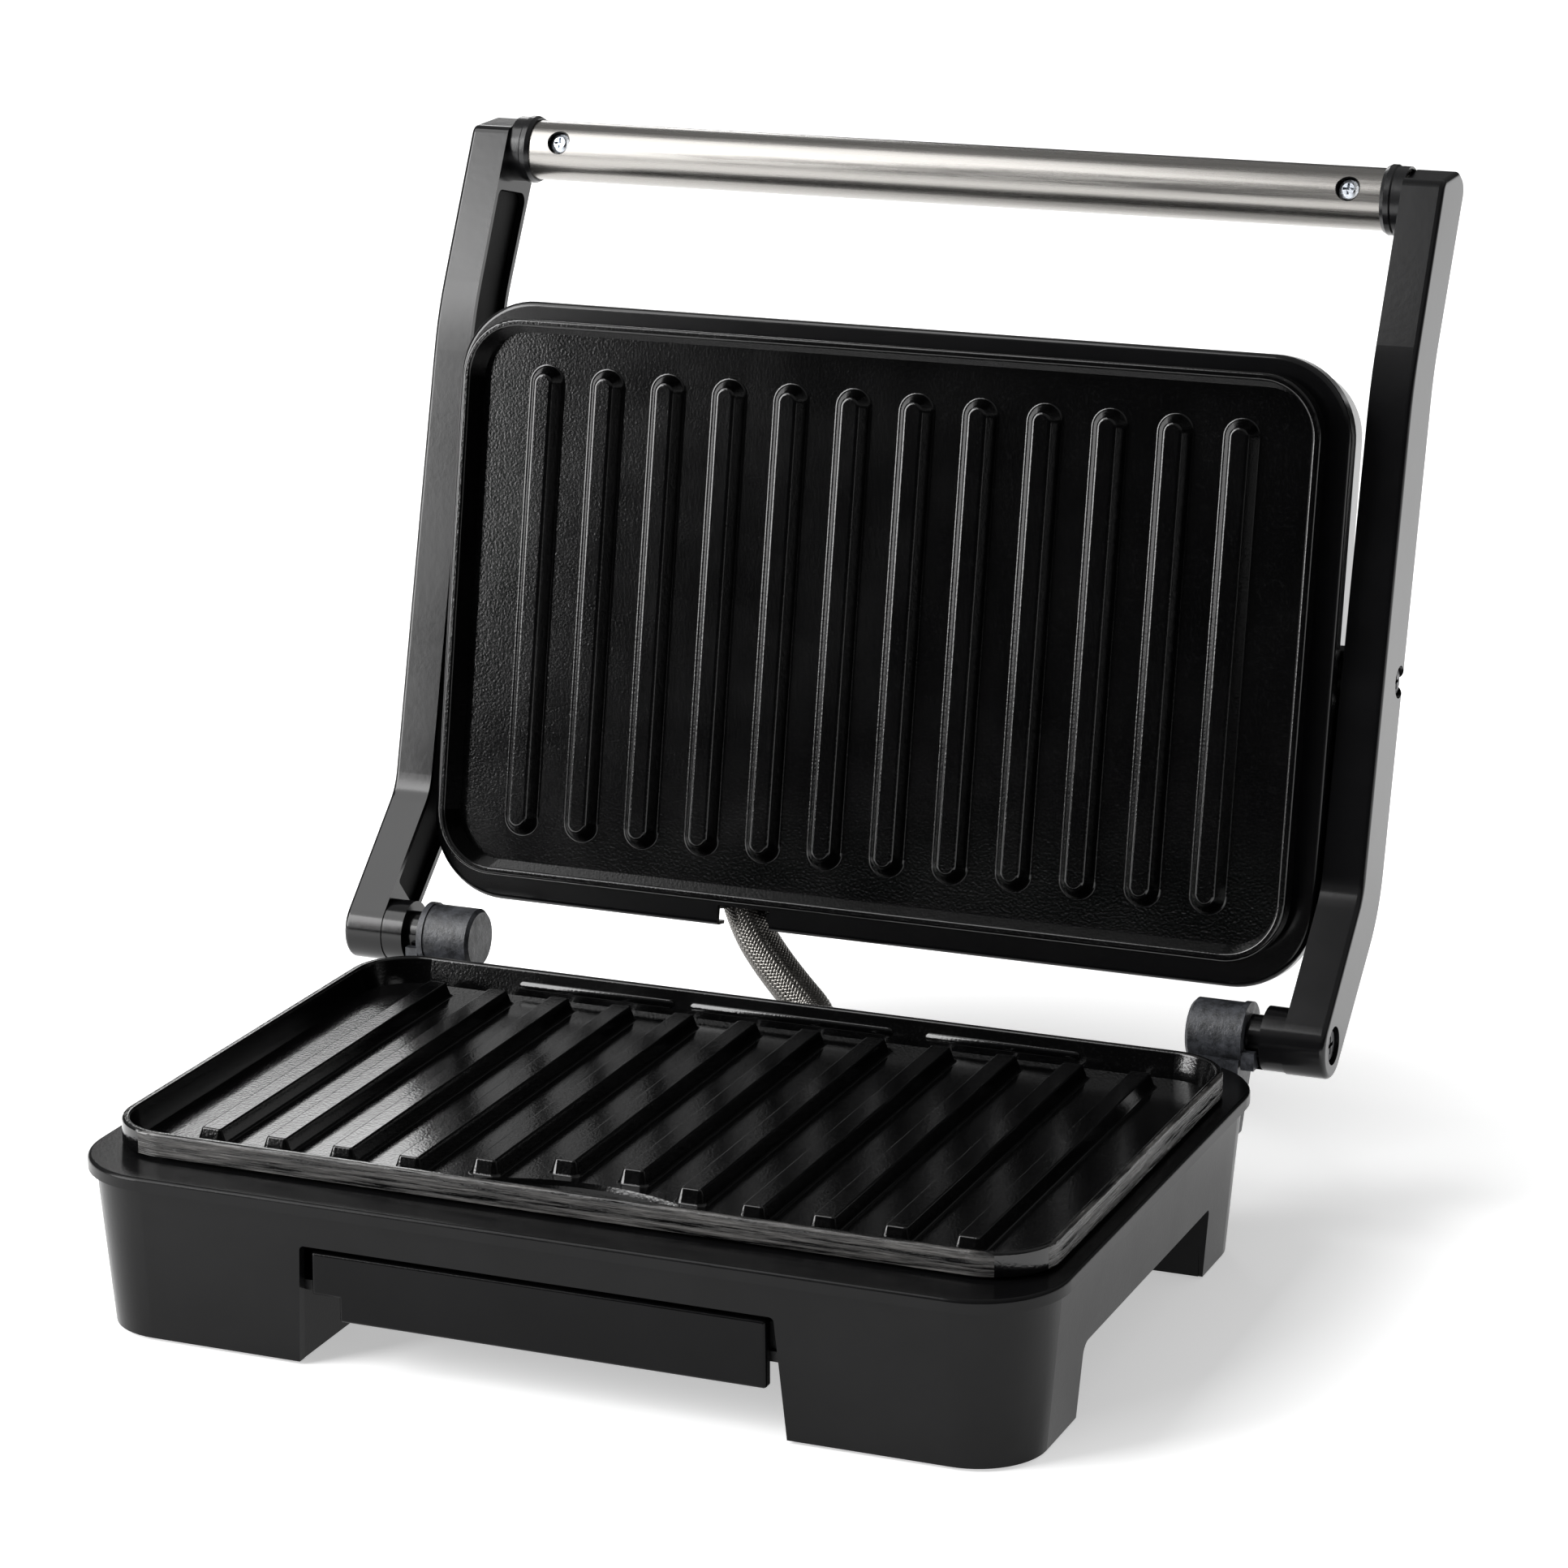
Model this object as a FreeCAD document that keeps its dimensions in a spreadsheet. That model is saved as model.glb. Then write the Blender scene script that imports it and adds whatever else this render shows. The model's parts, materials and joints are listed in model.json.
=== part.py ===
import FreeCAD, Part
import math
import os

V = FreeCAD.Vector
doc = FreeCAD.newDocument("panini_press")

# ---------------------------------------------------------------- dimensions (mm)
sheet = doc.addObject("Spreadsheet::Sheet", "dims")
D = {}


def dim(name, value):
    n = len(D) + 1
    sheet.set("A%d" % n, name)
    sheet.set("B%d" % n, str(value))
    sheet.setAlias("B%d" % n, name)
    D[name] = float(value)


for name, value in (
    # grill plates (both plates share one casting section)
    ("plate_half_width", 118.25), ("plate_half_depth", 74.2), ("plate_corner", 16.0),
    ("plate_rim_height", 6.6), ("plate_rim_skirt", 0.9), ("plate_floor", 3.2),
    ("plate_rim_wall", 1.9), ("plate_body_step", 2.75), ("rib_pitch", 17.5), ("rib_height", 3.6),
    ("rib_base_width", 7.6), ("rib_crest_width", 5.0), ("rib_front", 59.8),
    ("upper_rib_base", 9.4), ("upper_rib_crest", 4.8), ("rib_rear", 64.8),
    ("upper_rib_front", 62.2), ("upper_rib_rear", 63.3),
    # base
    ("floor_level", 42.8), ("flange_half_width", 123.0), ("flange_half_depth", 87.0),
    ("flange_corner", 22.0), ("flange_height", 3.2), ("wall_half_width", 117.7),
    ("wall_half_depth", 81.7), ("wall_corner", 16.7), ("foot_gap", 0.8), ("wall_height", 39.0),
    ("wall_draft", 4.9), ("wall_thick", 2.5), ("shelf_thick", 2.5), ("front_notch_height", 31.0),
    ("front_notch_top", 59.5), ("front_notch_bottom", 61.8), ("side_notch_height", 18.9),
    ("side_notch_front", 44.5), ("side_notch_rear", 48.5), ("rear_notch_height", 33.5), ("rear_panel_bottom", 9.0),
    ("cover_level", 18.3), ("cover_thick", 2.5), ("bay_half_width", 53.0), ("bay_roof", 25.4),
    ("tray_half_width", 57.2), ("tray_front", 83.2), ("tray_bottom", 12.9), ("tray_top", 29.4),
    ("foot_radius", 7.0), ("foot_height", 4.2),
    # hinge
    ("hinge_back", 95.6), ("hinge_level", 48.0), ("knuckle_radius", 8.2), ("knuckle_inner", 99.5),
    ("knuckle_outer", 114.4), ("boss_inner", 119.0), ("boss_radius", 8.2), ("hinge_shank", 3.0),
    ("running_gap", 0.05),
    # arms
    ("arm_inner", 125.0), ("arm_thick", 11.0), ("arm_end_radius", 8.5), ("arm_wall", 2.6),
    ("arm_rim", 1.6), ("arm_recess", 2.0), ("arm_cover_thick", 2.0),
    # handle
    ("handle_back", 183.2), ("handle_level", 245.9), ("tube_radius", 8.05), ("tube_wall", 1.2),
    ("tube_half_length", 124.4), ("handle_screw_x", 110.5), ("handle_screw_tilt", 26.0),
    # lid
    ("lid_lean", 10.28), ("lid_centre_back", 126.30), ("lid_centre_level", 134.68),
    ("lip_half_width", 123.5), ("lip_top", 78.9), ("lip_bottom", 81.9), ("lip_corner", 21.0),
    ("lip_front", -2.6), ("lip_back", -8.0), ("lid_back", -30.5), ("lid_cover_half_width", 122.0),
    ("pivot_depth", -21.5), ("pivot_along", -1.8), ("pivot_boss_radius", 6.0),
    ("post_across", 100.0), ("post_along", 54.0), ("post_radius", 3.2), ("row_shift", 54.5),
):
    dim(name, value)
doc.recompute()


class Q:
    """A number that carries the sheet expression it comes from."""

    def __init__(self, value, expr=None):
        self.v = float(value)
        self.e = expr if expr else "(%r)" % float(value)

    def __add__(self, o):
        o = q(o)
        return Q(self.v + o.v, "(%s + %s)" % (self.e, o.e))

    def __sub__(self, o):
        o = q(o)
        return Q(self.v - o.v, "(%s - %s)" % (self.e, o.e))

    def __mul__(self, o):
        o = q(o)
        return Q(self.v * o.v, "(%s * %s)" % (self.e, o.e))

    def __neg__(self):
        return Q(-self.v, "(0 - %s)" % self.e)


def q(x):
    return x if isinstance(x, Q) else Q(x)


def d(name):
    return Q(D[name], "dims." + name)


# ---------------------------------------------------------------- modelling helpers
bodies = []


def body(label):
    b = doc.addObject("PartDesign::Body", label)
    b.Label = label
    bodies.append(b)
    return b


def sketch(b, plane, off=0, x=0, y=0):
    s = b.newObject("Sketcher::SketchObject", b.Label + "_sketch")
    face = [f for f in b.Origin.OriginFeatures if f.Role == plane][0]
    s.AttachmentSupport = [(face, "")]
    s.MapMode = "FlatFace"
    off, x, y = q(off), q(x), q(y)
    s.AttachmentOffset = FreeCAD.Placement(V(x.v, y.v, off.v), FreeCAD.Rotation())
    for axis, val in (("x", x), ("y", y), ("z", off)):
        if "dims." in val.e:
            s.setExpression("AttachmentOffset.Base." + axis, val.e)
    return s


def bind(s, index, val):
    if "dims." in val.e:
        s.setExpression("Constraints[%d]" % index, val.e)


def seg(x0, y0, x1, y1):
    return Part.LineSegment(V(x0, y0, 0), V(x1, y1, 0))


def rect(s, hw, hd):
    """Rectangle centred on the sketch origin, half sizes bound to the sheet."""
    import Sketcher
    hw, hd = q(hw), q(hd)
    a, c = hw.v, hd.v
    n = s.GeometryCount
    s.addGeometry([seg(-a, -c, a, -c), seg(a, -c, a, c), seg(a, c, -a, c), seg(-a, c, -a, -c)], False)
    K = Sketcher.Constraint
    for i in range(4):
        s.addConstraint(K("Coincident", n + i, 2, n + (i + 1) % 4, 1))
    s.addConstraint([K("Horizontal", n), K("Horizontal", n + 2), K("Vertical", n + 1), K("Vertical", n + 3)])
    s.addConstraint(K("Symmetric", n, 1, n + 1, 2, -1, 1))
    i = s.addConstraint(K("DistanceX", n, 1, n, 2, 2 * a))
    bind(s, i, hw * 2)
    i = s.addConstraint(K("DistanceY", n + 1, 1, n + 1, 2, 2 * c))
    bind(s, i, hd * 2)


def rrect(s, hw, hd, r):
    """Round-cornered rectangle centred on the sketch origin, bound to the sheet."""
    import Sketcher
    hw, hd, r = q(hw), q(hd), q(r)
    a, c, k = hw.v, hd.v, r.v
    n = s.GeometryCount
    up = V(0, 0, 1)

    def arc(cx, cy, a0):
        return Part.ArcOfCircle(Part.Circle(V(cx, cy, 0), up, k), math.radians(a0), math.radians(a0 + 90))

    s.addGeometry([seg(-a + k, -c, a - k, -c), arc(a - k, -c + k, -90), seg(a, -c + k, a, c - k),
                   arc(a - k, c - k, 0), seg(a - k, c, -a + k, c), arc(-a + k, c - k, 90),
                   seg(-a, c - k, -a, -c + k), arc(-a + k, -c + k, 180)], False)
    K = Sketcher.Constraint
    for i in range(8):
        s.addConstraint(K("Tangent", n + i, 2, n + (i + 1) % 8, 1))
    s.addConstraint([K("Horizontal", n), K("Vertical", n + 2), K("Horizontal", n + 4), K("Vertical", n + 6)])
    for j in (3, 5):
        s.addConstraint(K("Equal", n + 1, n + j))
    s.addConstraint(K("Symmetric", n + 7, 3, n + 3, 3, -1, 1))
    i = s.addConstraint(K("Radius", n + 1, k))
    bind(s, i, r)
    i = s.addConstraint(K("DistanceX", n + 6, 1, n + 2, 2, 2 * a))
    bind(s, i, hw * 2)
    i = s.addConstraint(K("DistanceY", n, 1, n + 4, 1, 2 * c))
    bind(s, i, hd * 2)


def circle(s, r, x=0, y=0):
    import Sketcher
    r = q(r)
    n = s.GeometryCount
    s.addGeometry(Part.Circle(V(x, y, 0), V(0, 0, 1), r.v), False)
    K = Sketcher.Constraint
    if x == 0 and y == 0:
        s.addConstraint(K("Coincident", n, 3, -1, 1))
    i = s.addConstraint(K("Radius", n, r.v))
    bind(s, i, r)


def outline(s, pts, radii=None):
    """Closed outline through the points, each corner rounded by its radius."""
    n = len(pts)
    radii = radii or [0] * n
    ends = []
    geo = []
    for i in range(n):
        p, a, c = V(pts[i][0], pts[i][1], 0), pts[i - 1], pts[(i + 1) % n]
        r = radii[i]
        u = (V(a[0], a[1], 0) - p)
        w = (V(c[0], c[1], 0) - p)
        u.normalize()
        w.normalize()
        if r <= 0:
            ends.append((p, p, None))
            continue
        ang = math.acos(max(-1, min(1, u.dot(w))))
        t = r / math.tan(ang / 2)
        mid = u + w
        mid.normalize()
        centre = p + mid * (r / math.sin(ang / 2))
        ends.append((p + u * t, p + w * t, Part.Arc(p + u * t, centre - mid * r, p + w * t)))
    for i in range(n):
        if ends[i][2] is not None:
            geo.append(ends[i][2])
        j = (i + 1) % n
        if (ends[j][0] - ends[i][1]).Length > 1e-6:
            geo.append(Part.LineSegment(ends[i][1], ends[j][0]))
    s.addGeometry(geo, False)


def slots(s, items):
    """Round-ended slots along the sketch y axis: (x, y0, y1, half width)."""
    up = V(0, 0, 1)
    for x, y0, y1, k in items:
        s.addGeometry([seg(x + k, y0 + k, x + k, y1 - k),
                       Part.ArcOfCircle(Part.Circle(V(x, y1 - k, 0), up, k), 0, math.pi),
                       seg(x - k, y1 - k, x - k, y0 + k),
                       Part.ArcOfCircle(Part.Circle(V(x, y0 + k, 0), up, k), math.pi, 2 * math.pi)], False)


def bars(s, items, r):
    """Bars along the sketch y axis with slightly rounded ends: (x, y0, y1, half width)."""
    for x, y0, y1, k in items:
        outline(s, [(x - k, y0), (x + k, y0), (x + k, y1), (x - k, y1)], [r] * 4)


def _feature(kind, b, s, length, rev, taper, through=False):
    before = b.Shape.Volume if b.Shape and not b.Shape.isNull() else 0.0
    f = b.newObject("PartDesign::" + kind, b.Label + "_" + kind.lower())
    f.Profile = s
    length = q(length)
    f.Length = length.v
    if "dims." in length.e:
        f.setExpression("Length", length.e)
    f.Reversed = rev
    taper = q(taper)
    if taper.v:
        f.TaperAngle = -taper.v
    s.Visibility = False
    doc.recompute()
    after = b.Shape.Volume
    grew = after - before
    if (kind == "Pad" and grew <= 1e-3) or (kind == "Pocket" and grew >= -1e-3):
        raise RuntimeError("%s on %s changed nothing (%.3f)" % (kind, b.Label, grew))
    return f


def pad(b, s, length, rev=False, taper=0):
    return _feature("Pad", b, s, length, rev, taper)


def pocket(b, s, length, rev=False, taper=0):
    return _feature("Pocket", b, s, length, rev, taper)


def revolve(b, pts, groove=False):
    """Revolved outline, (radius, height) points turned about the body's Z axis."""
    s = sketch(b, "XZ_Plane")
    outline(s, pts)
    f = b.newObject("PartDesign::Groove" if groove else "PartDesign::Revolution", b.Label + "_turn")
    f.Profile = s
    f.ReferenceAxis = (s, ["V_Axis"])
    f.Angle = 360.0
    s.Visibility = False
    doc.recompute()
    return f


def fillet(b, radius, pick, kind="Fillet"):
    """Rounds or chamfers the edges for which pick(edge) is true."""
    tip = b.Tip
    names = ["Edge%d" % (i + 1) for i, e in enumerate(tip.Shape.Edges) if pick(e)]
    if not names:
        raise RuntimeError("no edge to round on " + b.Label)
    f = b.newObject("PartDesign::" + kind, b.Label + "_" + kind.lower())
    f.Base = (tip, names)
    if kind == "Fillet":
        f.Radius = radius
    else:
        f.Size = radius
    doc.recompute()
    if f.Shape.isNull() or not f.Shape.isValid():
        raise RuntimeError("rounding failed on " + b.Label)
    return f


def box(e):
    return e.BoundBox


def at_z(z, tol=0.01):
    return lambda e: abs(box(e).ZMin - z) < tol and abs(box(e).ZMax - z) < tol


def put(b, pos, axis=V(0, 0, 1), angle=0, bound=None):
    b.Placement = FreeCAD.Placement(V(*[q(p).v for p in pos]), FreeCAD.Rotation(axis, angle))
    for k, p in zip("xyz", pos):
        p = q(p)
        if "dims." in p.e:
            b.setExpression("Placement.Base." + k, p.e)
    return b


# ---------------------------------------------------------------- base housing
GAP = d("foot_gap")
b = body("base_housing")
s = sketch(b, "XY_Plane", GAP)
rrect(s, d("wall_half_width"), d("wall_half_depth"), d("wall_corner"))
pad(b, s, d("wall_height"), taper=-D["wall_draft"])
s = sketch(b, "XY_Plane", d("floor_level") - d("flange_height"))
rrect(s, d("flange_half_width"), d("flange_half_depth"), d("flange_corner"))
pad(b, s, d("flange_height"))
fillet(b, 0.9, at_z(D["floor_level"]))
s = sketch(b, "XY_Plane", GAP)
rrect(s, d("wall_half_width") - d("wall_thick"), d("wall_half_depth") - d("wall_thick"), d("wall_corner") - d("wall_thick"))
pocket(b, s, d("floor_level") - d("shelf_thick") - GAP, rev=True, taper=-D["wall_draft"])
s = sketch(b, "XY_Plane", d("floor_level"))
rrect(s, d("plate_half_width") - 1.9, d("plate_half_depth") - 1.9, d("plate_corner") - 1.9)
pocket(b, s, d("shelf_thick") + 0.5)
# front notch between the legs, slightly wider at the ground
s = sketch(b, "XZ_Plane", 70)
outline(s, [(-D["front_notch_bottom"], -1), (D["front_notch_bottom"], -1),
            (D["front_notch_top"], D["front_notch_height"]), (-D["front_notch_top"], D["front_notch_height"])],
        [0, 0, 1.2, 1.2])
pocket(b, s, 30, rev=True)
# side notches
s = sketch(b, "YZ_Plane", -130)
outline(s, [(-D["side_notch_front"] - 0.6, -1), (D["side_notch_rear"] + 0.6, -1),
            (D["side_notch_rear"], D["side_notch_height"]), (-D["side_notch_front"], D["side_notch_height"])],
        [0, 0, 1.5, 3.0])
pocket(b, s, 260, rev=True)
# rear opening between the legs, closed by a panel of its own
s = sketch(b, "XZ_Plane", -70, y=d("rear_notch_height") * 0.5)
rect(s, d("front_notch_bottom"), d("rear_notch_height") * 0.5 + 0.01)
pocket(b, s, 30)
# inner leg walls and leg floors
T = D["wall_thick"]
for sx in (-1, 1):
    for sy, ye, yd, xi in ((-1, D["side_notch_front"] + 0.3, 55.0, 104.0), (1, D["side_notch_rear"] + 0.3, 62.0, 105.0)):
        x0 = D["front_notch_bottom"]
        pts = [(sx * x0, sy * 80.6), (sx * x0, sy * yd), (sx * xi, sy * yd), (sx * xi, sy * ye), (sx * 116.6, sy * ye),
               (sx * 116.6, sy * (ye + T)), (sx * (xi + T), sy * (ye + T)), (sx * (xi + T), sy * (yd + T)),
               (sx * (x0 + T), sy * (yd + T)), (sx * (x0 + T), sy * 80.6)]
        s = sketch(b, "XY_Plane", GAP)
        outline(s, pts)
        pad(b, s, d("cover_level") - GAP)
        s = sketch(b, "XY_Plane", GAP)
        outline(s, [(sx * (x0 + 1), sy * 80.6), (sx * (x0 + 1), sy * (yd + 1)), (sx * (xi + 1), sy * (yd + 1)),
                    (sx * (xi + 1), sy * (ye + 1)), (sx * 116.6, sy * (ye + 1)), (sx * 116.6, sy * 67.0), (sx * 103.6, sy * 80.6)])
        pad(b, s, 2.5)
        # pocket for the rubber foot
        s = sketch(b, "XY_Plane", GAP, x=sx * 96.0, y=sy * 70.0)
        circle(s, d("foot_radius") + 2.0)
        pad(b, s, 4.9)
        s = sketch(b, "XY_Plane", GAP, x=sx * 96.0, y=sy * 70.0)
        circle(s, d("foot_radius"))
        pocket(b, s, d("foot_height") - GAP, rev=True)
# rear blocks that carry the hinge brackets
for sx in (-1, 1):
    s = sketch(b, "XY_Plane", 22.0, x=sx * 106.75, y=82.6)
    rect(s, 7.25, 4.4)
    pad(b, s, d("floor_level") - d("flange_height") - 22.0)
# holes for the bracket screws
for x, z, r in ((-106.75, 30.0, 1.6), (106.75, 30.0, 1.6)):
    s = sketch(b, "XZ_Plane", -70, x=x, y=z)
    circle(s, r)
    pocket(b, s, 25)

# ---------------------------------------------------------------- rear panel
# fills the rear opening and follows the drafted wall; an inner flange keeps it in
b = body("rear_panel")
WD = math.radians(D["wall_draft"])


def up_wall(z):
    return (z - GAP.v) / math.cos(WD)


z0, z1 = up_wall(D["rear_panel_bottom"]), up_wall(D["rear_notch_height"] - 0.3)
s = sketch(b, "XZ_Plane", 0.05, y=(z0 + z1) / 2)
rect(s, d("front_notch_bottom") - 0.3, (z1 - z0) / 2)
pad(b, s, 2.6)
z0, z1 = up_wall(21.6), up_wall(36.6)
s = sketch(b, "XZ_Plane", 2.58, y=(z0 + z1) / 2)
rect(s, d("front_notch_bottom") + 2.6, (z1 - z0) / 2)
pad(b, s, 1.0)
# holes for the supply gland and for the conduit ferrule
for x, z, r in ((-48.0, 26.15, 5.35), (-6.5, 24.05, 3.95)):
    s = sketch(b, "XZ_Plane", -2, x=x, y=z)
    circle(s, r)
    pocket(b, s, 8, rev=True)
put(b, (0, d("wall_half_depth"), GAP), V(1, 0, 0), -D["wall_draft"])

# ---------------------------------------------------------------- bottom cover with the tray bay
b = body("base_bottom_cover")
put(b, (0, 0, d("cover_level")))
CT = d("cover_thick")
s = sketch(b, "XY_Plane", 0)
rrect(s, 115.6, 79.4, 14.0)
pad(b, s, CT)
BAYR = 46.0
for hw, hd, z0, z1, cut in ((57.6, (BAYR + 78.0) / 2, 0.0, D["bay_roof"] + 2.0 - D["cover_level"], False),):
    s = sketch(b, "XY_Plane", z0, y=(BAYR - 78.0) / 2)
    rect(s, hw, hd)
    pad(b, s, z1)
s = sketch(b, "XY_Plane", 0, y=(BAYR - 2.0 - 84.0) / 2)
rect(s, d("bay_half_width"), (BAYR - 2.0 + 84.0) / 2)
pocket(b, s, D["bay_roof"] - D["cover_level"], rev=True)
s = sketch(b, "XY_Plane", CT, y=(BAYR - 2.0 - 84.0) / 2)
rect(s, 55.8, (BAYR - 2.0 + 84.0) / 2)
pocket(b, s, d("bay_roof") - d("cover_level") - CT, rev=True)
s = sketch(b, "XY_Plane", 0, y=-66.5)
rrect(s, 26.0, 5.5, 4.0)
pocket(b, s, 12.0, rev=True)
for sx in (-1, 1):
    for sy in (-1, 1):
        s = sketch(b, "XY_Plane", 0, x=sx * 100.0, y=sy * 40.0)
        circle(s, 1.7)
        pocket(b, s, CT + 1, rev=True)

# ---------------------------------------------------------------- drip tray
b = body("drip_tray")
TF = d("tray_front")
put(b, (0, -TF, d("tray_bottom")))
# front: lower left corner cut back, a step lower than the bay
s = sketch(b, "XZ_Plane", 0)
w, hh = D["tray_half_width"], D["tray_top"] - D["tray_bottom"]
outline(s, [(-50.2, 0), (w, 0), (w, hh), (-w, hh), (-w, 5.9), (-50.2, 5.9)], [0.6, 0.8, 0.6, 0.6, 0.4, 0])
pad(b, s, 2.6, rev=True)
# pan behind the front, open at the top, with two side flanges that ride on the bay's ledges
s = sketch(b, "XY_Plane", 0.0, y=(2.6 + 120.0) / 2 - 0.3)
rrect(s, 50.2, (120.0 - 2.0) / 2, 3.0)
pad(b, s, 9.7)
s = sketch(b, "XY_Plane", 8.2, y=61.0)
rect(s, 55.4, 57.0)
pad(b, s, 1.5)
s = sketch(b, "XY_Plane", 9.7, y=(2.6 + 120.0) / 2)
rrect(s, 48.6, (120.0 - 5.6) / 2, 2.0)
pocket(b, s, 8.2)
fillet(b, 0.9, lambda e: box(e).YMax < 0.01 and box(e).ZMax < 0.7 and box(e).XLength > 90)

# ---------------------------------------------------------------- grill plates
RIBS = [(i - 5.5) * D["rib_pitch"] for i in range(12)]


def plate(label, lower):
    b = body(label)
    hw, hd, rc = d("plate_half_width"), d("plate_half_depth"), d("plate_corner")
    s = sketch(b, "XY_Plane", d("plate_rim_skirt"))
    rrect(s, hw, hd, rc)
    pad(b, s, d("plate_rim_height") - d("plate_rim_skirt"))
    s = sketch(b, "XY_Plane", -d("plate_floor"))
    st = d("plate_body_step")
    rrect(s, hw - st, hd - st, rc - st)
    pad(b, s, d("plate_floor") + d("plate_rim_skirt"))
    s = sketch(b, "XY_Plane", d("plate_rim_height"))
    rw = d("plate_rim_wall")
    rrect(s, hw - rw, hd - rw, rc - rw)
    pocket(b, s, d("plate_rim_height"), taper=14.0)
    top = D["plate_rim_height"]
    fillet(b, 0.7, at_z(top))
    # ribs: round-ended, drafted sides
    kb, kc = (D["rib_base_width"], D["rib_crest_width"]) if lower else (D["upper_rib_base"], D["upper_rib_crest"])
    k = kb / 2
    items = []
    for i, x in enumerate(RIBS):
        if lower:
            front = {4: -54.9, 7: -54.9, 5: -48.2, 6: -48.2}.get(i, -D["rib_front"])
            items.append((x, front, D["rib_rear"], k))
        else:
            items.append((x, -D["upper_rib_rear"], D["upper_rib_front"], k))
    s = sketch(b, "XY_Plane", 0)
    if lower:
        bars(s, items, 1.9)
    else:
        slots(s, items)
    draft = math.degrees(math.atan((kb - kc) / 2 / D["rib_height"]))
    pad(b, s, d("rib_height"), taper=draft)
    fillet(b, 0.5 if lower else 1.1, lambda e: at_z(D["rib_height"])(e) and box(e).YMax < 70)
    fillet(b, 0.8, lambda e: at_z(0.0)(e) and box(e).XMin > -110 and box(e).XMax < 110 and abs(box(e).YMax) < 67 and abs(box(e).YMin) < 67)
    # underside recess with the element channel walls left standing
    s = sketch(b, "XY_Plane", -d("plate_floor"))
    rrect(s, hw - 6.0, hd - 6.0, 10.0)
    pocket(b, s, 0.9, rev=True)
    # posts for the reflector screws
    for sx in (-1, 1):
        for sy in (-1, 1):
            s = sketch(b, "XY_Plane", -11.85, x=d("post_across") * sx, y=d("post_along") * sy)
            circle(s, d("post_radius"))
            pad(b, s, 9.9)
            s = sketch(b, "XY_Plane", -11.85, x=d("post_across") * sx, y=d("post_along") * sy)
            circle(s, 1.45)
            pocket(b, s, 7.5, rev=True)
    if lower:
        # shallow drain hollow at the front middle, with the slot that lets the fat down to the tray
        s = sketch(b, "XY_Plane", 0.0)
        r = 60.0
        cy = -110.4
        a0 = math.asin((-71.2 - cy) / r)
        import Sketcher
        arc = Part.ArcOfCircle(Part.Circle(V(0, cy, 0), V(0, 0, 1), r), a0, math.pi - a0)
        s.addGeometry([arc, seg(-r * math.cos(a0), -71.2, r * math.cos(a0), -71.2)], False)
        pocket(b, s, 1.2, taper=20.0)
        s = sketch(b, "XY_Plane", 0.0, y=-67.2)
        rrect(s, 15.0, 2.0, 1.9)
        pocket(b, s, 4.0)
    return b


b = plate("lower_plate", True)
put(b, (0, 0, d("floor_level")))
b = plate("upper_plate", False)
LID_AXIS, LID_ANGLE = V(1, 0, 0), 90.0 - D["lid_lean"]
LCY, LCZ = d("lid_centre_back"), d("lid_centre_level")


def lid_put(b, x=0, y=0, z=0, extra=None):
    """Places a body whose own frame is the lid's: Y up the lid, Z out of the grill face."""
    lean = math.radians(D["lid_lean"])
    sn, cs = math.sin(lean), math.cos(lean)
    base = V(x, LCY.v + y * sn - z * cs, LCZ.v + y * cs + z * sn)
    rot = FreeCAD.Rotation(LID_AXIS, LID_ANGLE)
    if extra is not None:
        rot = rot.multiply(extra)
    b.Placement = FreeCAD.Placement(base, rot)
    if x == 0 and y == 0 and z == 0:
        b.setExpression("Placement.Base.y", LCY.e)
        b.setExpression("Placement.Base.z", LCZ.e)
    return b


lid_put(b)


# ---------------------------------------------------------------- heating elements and reflectors
def tube_path(points, radii):
    """Straight runs joined by tangent arcs."""
    edges = []
    last = V(*points[0])
    n = len(points)
    for i in range(1, n - 1):
        p, a, c = V(*points[i]), V(*points[i - 1]), V(*points[i + 1])
        u, w = a - p, c - p
        u.normalize()
        w.normalize()
        ang = math.acos(max(-1, min(1, u.dot(w))))
        r = radii[i - 1]
        t = r / math.tan(ang / 2)
        m = u + w
        m.normalize()
        ctr = p + m * (r / math.sin(ang / 2))
        e0, e1 = p + u * t, p + w * t
        if (e0 - last).Length > 1e-6:
            edges.append(Part.LineSegment(last, e0).toShape())
        edges.append(Part.Arc(e0, ctr - m * r, e1).toShape())
        last = e1
    edges.append(Part.LineSegment(last, V(*points[-1])).toShape())
    return Part.Wire(edges)


def tube(wire, r, inner=0.0):
    first = wire.OrderedEdges[0]
    start = first.valueAt(first.FirstParameter)
    direction = first.tangentAt(first.FirstParameter)
    shapes = []
    for k in (r, inner):
        if k <= 0:
            continue
        ring = Part.Wire([Part.Circle(start, direction, k).toShape()])
        shapes.append(wire.makePipeShell([ring], True, False))
    out = shapes[0] if len(shapes) == 1 else shapes[0].cut(shapes[1])
    want = math.pi * (r * r - inner * inner) * wire.Length
    if abs(out.Volume - want) > 0.01 * want:
        raise RuntimeError("tube volume %.1f, expected %.1f" % (out.Volume, want))
    return out


def feature(label, shape, place=None):
    f = doc.addObject("Part::Feature", label)
    f.Label = label
    f.Shape = shape
    if place is not None:
        f.Placement = place
    bodies.append(f)
    return f


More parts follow.
